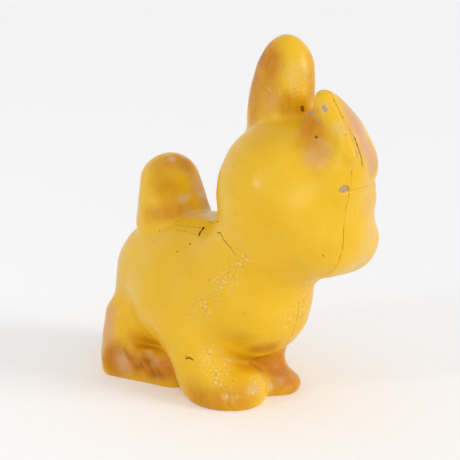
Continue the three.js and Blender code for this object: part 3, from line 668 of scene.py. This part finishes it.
# Paint: each coat is soft puffs of colour. The brown and peach coats are the toy's own spray with a few
# puffs of painted shade and painted highlight; the ochre coat is mostly painted shade and the darkest brown
# coat is painted shade; the worn coat is rubbed wear with painted highlights; the crazed coat is crazing
# with painted highlights.
# Those seen in the photograph are pixel, reach and strength, and those on the near side of the body are
# laid on the far side too. The rest are place, reach and strength, on the body or in the head's own
# directions.
coats = {
    # Ochre: painted shade in the valleys above the hind feet and front paws, in the upright ear's root
    # crease, under the chest and on the top of the head, and deeper ochre down the tail's middle
    "ochreShade": {"seen": [
        (160, 182, 5.0, 0.7), (170, 192, 5.0, 0.6), (139, 339, 4.2, 0.6), (150, 345, 3.2, 0.45),
        (288, 104, 4.5, 0.95), (301, 105, 3.0, 0.8), (232, 366, 5.5, 0.35), (244, 358, 4.0, 0.4),
        (230, 336, 4.0, 0.3), (244, 340, 4.0, 0.45), (252, 350, 3.0, 0.6), (262, 348, 3.2, 0.75),
        (273, 346, 3.0, 0.65), (262, 135, 7.0, 0.25),
    ]},
    # Peach spray on the folded ear's flap, the legs' edges, the rump and the face; the puffs on the upright
    # ear's base and the hind foot's lobe are painted highlights
    "peach": {"seen": [
        (341, 98, 3.0, 0.5), (349, 110, 3.6, 0.75), (356, 122, 4.0, 0.85), (362, 135, 4.2, 0.85),
        (367, 149, 4.2, 0.85), (373, 163, 3.6, 0.85), (317, 154, 4.6, 0.5), (108, 314, 4.5, 0.55),
        (106, 330, 4.5, 0.6), (105, 345, 4.0, 0.4), (198, 186, 4.0, 0.4), (282, 374, 4.6, 0.5),
        (368, 203, 4.5, 0.25), (270, 100, 3.6, 0.3), (122, 360, 4.0, 0.4),
    ], "body": [
        ((-34.0, 0.0, 30.0), (6.0, 18.0, 14.0), 0.35),
    ], "head": [
        ((0.0, 26.0, -20.0), (9.0, 7.0, 5.0), 0.1), ((-17.0, 16.0, -9.0), (5.0, 6.0, 5.0), 0.45),
    ]},
    # Brown spray on the ears, feet and tail; the row along the tail's root and the two puffs under the
    # chest are painted shade in those creases
    "brown": {"seen": [
        (160, 162, 4.5, 0.4), (176, 161, 4.5, 0.5), (190, 168, 4.0, 0.4), (150, 214, 3.4, 0.35),
        (162, 212.5, 3.4, 0.45), (174, 211, 3.4, 0.45), (186, 209.5, 3.2, 0.4), (266, 50, 4.6, 0.6),
        (258, 66, 4.6, 0.6), (255, 84, 4.6, 0.55), (253, 102, 4.6, 0.5), (252, 118, 4.0, 0.45),
        (271, 62, 4.6, 0.75), (268, 82, 4.6, 0.6), (264, 104, 4.6, 0.35), (311, 60, 3.0, 0.3),
        (312, 76, 3.0, 0.4), (312, 92, 3.0, 0.4), (304, 124, 3.8, 0.6), (311, 118, 3.8, 0.5),
        (316, 132, 4.2, 0.5), (304, 140, 3.6, 0.35), (322, 146, 3.6, 0.15), (113, 352, 4.6, 0.75),
        (115, 366, 5.0, 0.7), (131, 362, 5.2, 0.7), (146, 366, 5.2, 0.75), (160, 370, 5.0, 0.7),
        (170, 368, 4.4, 0.6), (105, 360, 4.0, 0.5), (194, 392, 5.2, 0.4), (198, 400, 4.4, 0.35),
        (212, 402, 5.2, 0.45), (230, 400, 5.2, 0.45), (248, 396, 5.0, 0.45), (256, 349, 2.2, 0.5),
        (268, 349, 2.6, 0.55), (262, 360, 3.6, 0.65), (276, 364, 4.4, 0.65), (290, 384, 3.4, 0.6),
        (276, 386, 2.6, 0.55),
    ], "body": [
        ((24.0, 12.0, 6.0), (12.0, 8.0, 12.0), 0.55),
    ], "head": [
        ((-7.0, 9.0, 31.0), (6.0, 5.0, 13.0), 0.65),
    ]},
    # Pale: rubbed wear on the back, the tail, the folded ear and the paws, with painted highlights on the
    # hind foot's lobes and down the upright ear
    "wearAndSheen": {"seen": [
        (190, 213.5, 2.6, 0.35), (199, 213.5, 2.8, 0.55), (207, 214, 3.0, 0.85), (214, 216, 2.8, 0.9),
        (171, 158.5, 1.5, 0.6), (182, 199, 1.5, 0.6), (186, 196.5, 1.3, 0.6), (324, 107, 1.5, 0.5),
        (120, 355, 2.8, 0.2), (122, 362, 2.8, 0.25), (125, 369, 2.8, 0.25), (147, 352, 2.2, 0.3),
        (154, 361, 2.2, 0.3), (262, 374, 1.6, 0.4), (269, 385, 1.6, 0.45), (279, 381, 1.6, 0.45),
        (226, 397, 1.5, 0.25), (254, 388, 2.2, 0.35), (341, 128, 3.0, 0.25), (298, 72, 4.5, 0.15),
    ]},
    # Darkest brown: painted shade in the hind foot's toe grooves and beside the upright ear's raised rim
    "deepShade": {"seen": [
        (253, 80, 3.0, 0.3), (249, 98, 2.8, 0.3), (261, 56, 3.2, 0.35), (131, 356, 1.4, 0.35),
        (137, 366, 1.6, 0.5), (154, 374, 2.0, 0.5), (160, 375, 1.7, 0.4), (146, 363, 2.6, 0.35),
    ]},
    # Crazing, with painted highlights on its flecks along the shoulder's ridge, on the near paw and on the
    # upright ear
    "crazingAndSheen": {"seen": [
        (241, 256, 3.6, 0.8), (231, 270, 4.0, 0.9), (221, 284, 4.0, 0.9), (208, 300, 4.0, 0.9),
        (198, 312, 4.0, 0.8), (210, 354, 3.6, 0.9), (213, 362, 3.6, 1.0), (217, 372, 3.6, 1.0),
        (223, 380, 3.4, 0.9), (229, 397, 3.0, 0.8), (253, 388, 3.6, 0.9), (292, 318, 5.0, 0.6),
        (297, 84, 3.6, 0.6), (271, 92, 3.4, 0.5), (303, 298, 4.0, 0.7),
    ]},
}

# A puff fades between two shares of its reach. The body's near side lies short of these places on x, y, z.
spray = {"fade": (1.45, 0.3), "nearBody": (25.0, -2.0, 76.0)}


def placeCoats():
    for coat in coats.values():
        coat["laid"] = list(coat.get("body", []))
        places = onSurface([puff[:2] for puff in coat["seen"]])
        for (_, _, reach, strength), place in zip(coat["seen"], places):
            coat["laid"].append((place, (reach,) * 3, strength))
            if np.all(place < spray["nearBody"]):
                coat["laid"].append((mirrored(place, "body"), (reach,) * 3, strength))
    print("paint placed:", sum(len(coat["laid"]) for coat in coats.values()), "puffs on the body")


def puffed(p, puffs):
    clear = np.ones(len(p), np.float32)
    for at, reach, strength in puffs:
        off = np.linalg.norm((p - np.asarray(at, np.float32)) / np.asarray(reach, np.float32), axis=1)
        clear *= 1 - strength * fade(off, *spray["fade"])
    return 1 - clear


# How far points are from the painted edges of the eyes and nose
def pastFeatures(p):
    s = head
    middles = [eyePlace(side, s["eyePaintStand"]).astype(np.float32) for side in (-1, 1)]
    eyes = [np.linalg.norm(p - middle, axis=1) for middle in middles]
    nose = ellipsoid(inHead(p), s["noseAt"], np.asarray(s["noseRadii"]) + s["nosePaintGrowth"])
    return np.minimum(np.min(eyes, axis=0) - s["eyePaint"], nose - s["nosePaint"])


# Where the paint of each mark fades, from outside it to inside, and how far the painted hollow shade looks
# for a facing wall
paintEdges = {"bare": (0.12, -0.15), "crack": (0.14, -0.06), "feature": (0.1, -0.1), "mouth": (0.2, -0.3),
              "mouthTone": 0.8, "hollowShadeReaches": (1.5, 4.0, 9.0)}


def paintPoints(mesh, p):
    s = paintEdges
    out = slopeOf(skinForm, p).astype(np.float32)
    h = inHead(p)
    masks = {}
    for kind, coat in coats.items():
        masks[kind] = 1 - (1 - puffed(p, coat["laid"])) * (1 - puffed(h, coat.get("head", [])))
    # Painted shade: darker where a facing wall lies close, sampled at three reaches along the outward slope
    shut = [1 - skinForm(p + out * np.float32(reach)) / reach for reach in s["hollowShadeReaches"]]
    masks["hollowShade"] = np.mean(np.clip(shut, 0, 1), axis=0)
    masks["bare"] = np.max([fade(away(p, chip), *s["bare"]) for chip in chips.values()], axis=0)
    tones = [crack["tone"] * fade(away(p, crack), *s["crack"]) for crack in cracks.values()]
    masks["crack"] = np.max(tones, axis=0)
    mouth = np.minimum(away(p, grooves["mouth"]), away(p, grooves["lip"]))
    features = fade(pastFeatures(p), *s["feature"])
    masks["dark"] = np.maximum(features, s["mouthTone"] * fade(mouth, *s["mouth"]))
    for kind, mask in masks.items():
        mesh.attributes.new(kind, "FLOAT", "POINT").data.foreach_set("value", mask.astype(np.float32))


placeMarks()
placeCoats()


# Materials
def addNode(tree, kind, inputs=None, **settings):
    node = tree.nodes.new(kind)
    for key, value in settings.items():
        setattr(node, key, value)
    for key, value in (inputs or {}).items():
        if isinstance(value, bpy.types.NodeSocket):
            tree.links.new(value, node.inputs[key])
        else:
            node.inputs[key].default_value = value
    return node


def wired(tree, kind, inputs, **settings):
    return addNode(tree, kind, inputs, **settings).outputs[0]


def mixed(tree, factor, a, b, how="MIX"):    # inputs 6 and 7 and output 2 are the colours
    node = addNode(tree, "ShaderNodeMix", {0: factor, 6: a, 7: b}, data_type="RGBA", blend_type=how)
    return node.outputs[2]


def math(tree, how, a, b=0.0, c=0.0):
    return wired(tree, "ShaderNodeMath", {0: a, 1: b, 2: c}, operation=how)


def times(tree, a, b):
    return math(tree, "MULTIPLY", a, b)


def aroundOne(tree, value, spread):
    return math(tree, "MULTIPLY_ADD", math(tree, "SUBTRACT", value, 0.5), spread, 1.0)


def ramp(tree, value, low, high):    # from 0 at low to 1 at high
    ends = {0: value, 1: low, 2: high, 3: 0.0, 4: 1.0}
    return wired(tree, "ShaderNodeMapRange", ends, clamp=True)


def noise(tree, place, scale, detail=3.0, rough=0.55):
    return wired(tree, "ShaderNodeTexNoise", {"Vector": place, "Scale": scale, "Detail": detail,
                                              "Roughness": rough})


def srgb(red, green, blue):
    parts = [v / 255 for v in (red, green, blue)]
    return tuple(v / 12.92 if v <= 0.04045 else ((v + 0.055) / 1.055) ** 2.4 for v in parts) + (1.0,)


def blank(name):
    material = bpy.data.materials.new(name)
    material.use_nodes = True
    material.node_tree.nodes.clear()
    return material, material.node_tree


def surfaced(tree, inputs):
    shader = wired(tree, "ShaderNodeBsdfPrincipled", inputs)
    addNode(tree, "ShaderNodeOutputMaterial", {"Surface": shader})


# Amber colours the painted hollow shade and the lines of the crazing
rubberPaint = {
    "yellow": srgb(236, 184, 12), "pale": srgb(241, 192, 38), "ochreShade": srgb(210, 150, 0),
    "peach": srgb(220, 163, 124), "brown": srgb(196, 116, 24), "wearAndSheen": srgb(220, 192, 152),
    "deepShade": srgb(146, 84, 14), "amber": srgb(208, 146, 0), "bare": srgb(188, 160, 132),
    "crack": srgb(66, 40, 12), "dark": srgb(48, 34, 28), "crackleHighlight": srgb(248, 212, 120),
    "roughness": 0.32, "roughSpread": 0.2, "bareRoughness": 0.3, "specular": 0.12,
    "coat": 0.5, "coatRoughness": 0.26, "bump": 0.45, "relief": 0.25,
    "cloudScale": 60.0, "cloudFade": (0.35, 0.68), "hollowShadeFade": (0.4, 1.0),
    "mottleScale": 420.0, "ragged": 0.7, "fineScale": 1700.0, "freckle": 0.2, "fineHeight": 0.2,
    "crackleScale": 700.0, "crackleLine": 0.16, "crazeFade": (0.46, 0.6), "crackleHighlightShare": 0.75,
    "creaseShare": 0.7, "creaseHeight": -1.6,
    "dotScale": 190.0, "dotFade": (0.07, 0.03), "dotRare": 0.66, "dotTone": 0.4, "dotHeight": -1.0,
}


def rubberMaterial():
    s = rubberPaint
    material, tree = blank("paintedRubber")
    place = addNode(tree, "ShaderNodeTexCoord").outputs["Object"]
    masks = {}
    for kind in [*coats, "hollowShade", "bare", "crack", "dark"]:
        masks[kind] = addNode(tree, "ShaderNodeAttribute", attribute_name=kind).outputs["Fac"]
    cloudy = noise(tree, place, s["cloudScale"])
    mottled = noise(tree, place, s["mottleScale"], detail=4.0, rough=0.6)
    fine = noise(tree, place, s["fineScale"], rough=0.6)
    color = mixed(tree, ramp(tree, cloudy, *s["cloudFade"]), s["yellow"], s["pale"])
    # Painted shade: amber laid into the creases and hollows
    color = mixed(tree, ramp(tree, masks["hollowShade"], *s["hollowShadeFade"]), color, s["amber"])
    ragged = aroundOne(tree, mottled, s["ragged"])
    for kind in ("ochreShade", "peach", "brown", "wearAndSheen", "deepShade"):
        color = mixed(tree, ramp(tree, times(tree, masks[kind], ragged), 0.0, 1.0), color, s[kind])
    crackle = addNode(tree, "ShaderNodeTexVoronoi", {"Vector": place, "Scale": s["crackleScale"]},
                      feature="DISTANCE_TO_EDGE")
    islands = ramp(tree, crackle.outputs["Distance"], 0.0, s["crackleLine"])
    crazingAndSheen = times(tree, ramp(tree, mottled, *s["crazeFade"]), masks["crazingAndSheen"])
    creased = times(tree, math(tree, "SUBTRACT", 1.0, islands), crazingAndSheen)
    # Painted highlight: pale flecks on the crazed islands
    color = mixed(tree, times(tree, times(tree, crazingAndSheen, islands), s["crackleHighlightShare"]), color, s["crackleHighlight"])
    color = mixed(tree, times(tree, creased, s["creaseShare"]), color, s["amber"])
    freckle = aroundOne(tree, fine, s["freckle"])
    freckles = wired(tree, "ShaderNodeCombineColor", {0: freckle, 1: freckle, 2: freckle})
    color = mixed(tree, 1.0, color, freckles, "MULTIPLY")
    spots = addNode(tree, "ShaderNodeTexVoronoi", {"Vector": place, "Scale": s["dotScale"]})
    drawn = wired(tree, "ShaderNodeSeparateColor", {0: spots.outputs["Color"]})
    chosen = math(tree, "GREATER_THAN", drawn, s["dotRare"])
    dot = times(tree, ramp(tree, spots.outputs["Distance"], *s["dotFade"]), chosen)
    color = mixed(tree, times(tree, dot, s["dotTone"]), color, s["crack"])
    for kind in ("bare", "dark", "crack"):
        color = mixed(tree, masks[kind], color, s[kind])
    rough = math(tree, "MULTIPLY_ADD", mottled, s["roughSpread"], s["roughness"])
    rough = math(tree, "MULTIPLY_ADD", masks["bare"], s["bareRoughness"], rough)
    # The coat thins where the ochre and brown coats and the painted hollow shade lie
    lessCoated = math(tree, "MAXIMUM", masks["ochreShade"], math(tree, "MAXIMUM", masks["brown"], masks["hollowShade"]))
    gloss = math(tree, "MULTIPLY_ADD", lessCoated, -s["coat"], s["coat"])
    height = mottled
    for part, rise in ((creased, s["creaseHeight"]), (fine, s["fineHeight"]), (dot, s["dotHeight"])):
        height = math(tree, "MULTIPLY_ADD", part, rise, height)
    bump = wired(tree, "ShaderNodeBump", {"Strength": s["bump"], "Distance": s["relief"] * mm,
                                          "Height": height})
    surfaced(tree, {"Base Color": color, "Roughness": rough, "Normal": bump, "Coat Weight": gloss,
                    "Coat Roughness": s["coatRoughness"], "Specular IOR Level": s["specular"]})
    return material


metals = {
    "steel": {"color": srgb(172, 168, 158), "tarnish": srgb(118, 108, 92), "roughness": 0.36,
              "patchScale": 320.0, "slot": "dull_steel"},
    "brass": {"color": srgb(204, 170, 96), "tarnish": srgb(140, 104, 52), "roughness": 0.3,
              "patchScale": 320.0},
}
tarnishing = {"drawnScale": 6000.0, "fade": (0.4, 0.68), "rougher": 0.25, "bump": 0.2, "relief": 0.05}


# Tarnish shared by the metals: a colour mask, and the fine height of drawn metal
def tarnishGroup():
    tree = bpy.data.node_groups.new("tarnish", "ShaderNodeTree")
    for name, kind, way in (("Place", "Vector", "INPUT"), ("Patch Scale", "Float", "INPUT"),
                            ("Mask", "Float", "OUTPUT"), ("Height", "Float", "OUTPUT")):
        tree.interface.new_socket(name, in_out=way, socket_type="NodeSocket" + kind)
    given = addNode(tree, "NodeGroupInput").outputs
    patches = noise(tree, given["Place"], given["Patch Scale"], detail=5.0, rough=0.5)
    drawn = noise(tree, given["Place"], tarnishing["drawnScale"], detail=2.0, rough=0.5)
    addNode(tree, "NodeGroupOutput", {"Mask": ramp(tree, patches, *tarnishing["fade"]), "Height": drawn})
    return tree


def metalMaterial(name, group):
    s = metals[name]
    material, tree = blank(name)
    place = addNode(tree, "ShaderNodeTexCoord").outputs["Object"]
    wear = addNode(tree, "ShaderNodeGroup", {"Place": place, "Patch Scale": s["patchScale"]},
                   node_tree=group).outputs
    color = mixed(tree, wear["Mask"], s["color"], s["tarnish"])
    rough = math(tree, "MULTIPLY_ADD", wear["Mask"], tarnishing["rougher"], s["roughness"])
    bump = wired(tree, "ShaderNodeBump", {"Strength": tarnishing["bump"], "Height": wear["Height"],
                                          "Distance": tarnishing["relief"] * mm})
    surfaced(tree, {"Base Color": color, "Roughness": rough, "Metallic": 1.0, "Normal": bump})
    return material


rubber = rubberMaterial()
for name, side, node in (("rightShell", -1, "right_half_shell"), ("leftShell", 1, "left_half_shell")):
    half = bpy.data.objects.new(name, shellMesh(name, side))
    bpy.context.scene.collection.objects.link(half)
    half.data.materials.append(rubber)
    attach(half, "toy")
    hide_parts(node)

# Whistle cups: pressings turned about the whistle's axis, each from an outline of radius and height
cups = {
    "outerCup": {"node": "whistle_outer_cup", "bend": 0.15,
                 "outline": [(1.5, 1.0), (5.5, 1.0), (5.5, 2.5), (7.0, 2.5), (7.0, 6.7),
                             (6.5, 6.7), (6.5, 3.0), (5.0, 3.0), (5.0, 1.5), (1.5, 1.5)]},
    "innerCup": {"node": "whistle_inner_cup", "bend": 0.15,
                 "outline": [(5.7, 3.8), (6.2, 3.8), (6.2, 6.2), (1.5, 6.2), (1.5, 5.7), (5.7, 5.7)]},
}
turning = {"middle": 5.0, "bendSteps": 3, "steps": 96}


def turnedTree():
    tree = bpy.data.node_groups.new("turnedCup", "GeometryNodeTree")
    tree.interface.new_socket("Outline", in_out="INPUT", socket_type="NodeSocketGeometry")
    for name, kind in (("Middle Radius", "Float"), ("Bend", "Float"), ("Bend Steps", "Int"),
                       ("Turn Steps", "Int"), ("Axis", "Vector"), ("Material", "Material")):
        tree.interface.new_socket(name, in_out="INPUT", socket_type="NodeSocket" + kind)
    tree.interface.new_socket("Cup", in_out="OUTPUT", socket_type="NodeSocketGeometry")
    given = addNode(tree, "NodeGroupInput").outputs
    outline = wired(tree, "GeometryNodeMeshToCurve", {"Mesh": given["Outline"]})
    bent = wired(tree, "GeometryNodeFilletCurve", {"Curve": outline, "Radius": given["Bend"],
                                                   "Count": given["Bend Steps"]}, mode="POLY")
    circle = wired(tree, "GeometryNodeCurvePrimitiveCircle", {"Resolution": given["Turn Steps"],
                                                              "Radius": given["Middle Radius"]})
    turned = wired(tree, "GeometryNodeCurveToMesh", {"Curve": circle, "Profile Curve": bent})
    placed = wired(tree, "GeometryNodeTransform", {"Geometry": turned, "Translation": given["Axis"]})
    smooth = wired(tree, "GeometryNodeSetShadeSmooth", {"Geometry": placed})
    real = wired(tree, "GeometryNodeRealizeInstances", {"Geometry": smooth})
    coated = wired(tree, "GeometryNodeSetMaterial", {"Geometry": real, "Material": given["Material"]})
    addNode(tree, "NodeGroupOutput", {"Cup": coated})
    return tree


# The outline's second direction runs down the axis, so its heights are turned over and its points reversed
def turnedCup(name, tree, material):
    s = cups[name]
    corners = [((r - turning["middle"]) * mm, -z * mm, 0) for r, z in reversed(s["outline"])]
    mesh = bpy.data.meshes.new(name + "Outline")
    mesh.from_pydata(corners, [(i, (i + 1) % len(corners)) for i in range(len(corners))], [])
    cup = bpy.data.objects.new(name, mesh)
    bpy.context.scene.collection.objects.link(cup)
    modifier = cup.modifiers.new("turned", "NODES")
    modifier.node_group = tree
    axis = [(whistleAxis[i] + shift[i]) * mm for i in range(2)] + [0.0]
    sizes = {"Middle Radius": turning["middle"] * mm, "Bend": s["bend"] * mm, "Axis": axis,
             "Bend Steps": turning["bendSteps"], "Turn Steps": turning["steps"], "Material": material}
    for socket in tree.interface.items_tree:
        if socket.name in sizes:
            modifier[socket.identifier] = sizes[socket.name]
    made = bpy.data.meshes.new_from_object(cup.evaluated_get(bpy.context.evaluated_depsgraph_get()))
    made.name = name
    cup.modifiers.remove(modifier)
    cup.data = made
    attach(cup, "toy")
    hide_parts(s["node"])
    print(name, "turned:", len(made.polygons), "faces")


tarnish = tarnishGroup()
metalOf = {name: metalMaterial(name, tarnish) for name in metals}
turnedGroup = turnedTree()
for name in cups:
    turnedCup(name, turnedGroup, metalOf["steel"])
for node, metal in (("reed_plate", "steel"), ("reed", "brass"), ("reed_rivet", "brass")):
    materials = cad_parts[node].data.materials
    materials.clear()
    materials.append(metalOf[metal])
print("whistle finished")

# Pale floor, which fills the view, and soft light
floorLook = {"half": 4.0, "color": srgb(251, 251, 252), "lift": 0.11, "specular": 0.1,
             "grainScale": 30.0, "roughness": 0.7, "roughSpread": 0.1}
lights = {
    "sky": 0.67, "backdrop": 0.93, "aim": (0.0, 0.0, 0.05),
    "sun": {"from": (0.78, 0.35, 0.42), "strength": 1.05, "angle": 28.0},
    "lamps": {"side": {"at": (-0.2, -0.8, 0.4), "size": 0.16, "power": 0.8},
              "front": {"at": (0.64, -0.6, 0.12), "size": 0.5, "power": 1.0}},
}


# Rays that show the backdrop: the camera's own and those off metal or through glass
def shownRay(tree):
    rays = addNode(tree, "ShaderNodeLightPath").outputs
    bounced = math(tree, "MAXIMUM", rays["Is Glossy Ray"], rays["Is Transmission Ray"])
    return math(tree, "MAXIMUM", rays["Is Camera Ray"], bounced)


def makeFloor():
    s = floorLook
    h = s["half"]
    mesh = bpy.data.meshes.new("floor")
    mesh.from_pydata([(-h, -h, 0), (h, -h, 0), (h, h, 0), (-h, h, 0)], [], [(0, 1, 2, 3)])
    material, tree = blank("paleFloor")
    place = addNode(tree, "ShaderNodeTexCoord").outputs["Object"]
    grain = noise(tree, place, s["grainScale"])
    rough = math(tree, "MULTIPLY_ADD", grain, s["roughSpread"], s["roughness"])
    surfaced(tree, {"Base Color": s["color"], "Roughness": rough, "Specular IOR Level": s["specular"],
                    "Emission Color": shownRay(tree), "Emission Strength": s["lift"]})
    mesh.materials.append(material)
    floor = bpy.data.objects.new("floor", mesh)
    bpy.context.scene.collection.objects.link(floor)


def hang(lamp, place):
    placed = bpy.data.objects.new(lamp.name, lamp)
    placed.location = place
    placed.rotation_euler = (Vector(lights["aim"]) - placed.location).to_track_quat("-Z", "Y").to_euler()
    bpy.context.scene.collection.objects.link(placed)


def makeLights():
    world = bpy.data.worlds.new("studio")
    world.use_nodes = True
    background = world.node_tree.nodes["Background"].inputs
    background["Color"].default_value = (1, 1, 1, 1)
    past = lights["backdrop"] - lights["sky"]
    shine = math(world.node_tree, "MULTIPLY_ADD", shownRay(world.node_tree), past, lights["sky"])
    world.node_tree.links.new(shine, background["Strength"])
    bpy.context.scene.world = world
    sun = bpy.data.lights.new("sun", "SUN")
    sun.energy = lights["sun"]["strength"]
    sun.angle = np.radians(lights["sun"]["angle"])
    hang(sun, lights["sun"]["from"])
    for name, s in lights["lamps"].items():
        lamp = bpy.data.lights.new(name, "AREA")
        lamp.shape = "DISK"
        lamp.size = s["size"]
        lamp.energy = s["power"]
        hang(lamp, s["at"])


def makeCamera():
    camera = bpy.data.cameras.new("camera")
    camera.lens = view["lens"]
    camera.sensor_width = view["sensor"]
    placed = bpy.data.objects.new("camera", camera)
    placed.location = Vector((viewEye + shift) * mm)
    placed.rotation_euler = Vector(-viewBack).to_track_quat("-Z", "Y").to_euler()
    bpy.context.scene.collection.objects.link(placed)
    bpy.context.scene.camera = placed


makeFloor()
makeLights()
makeCamera()
bpy.context.scene.view_settings.view_transform = "Standard"
print("stage set")
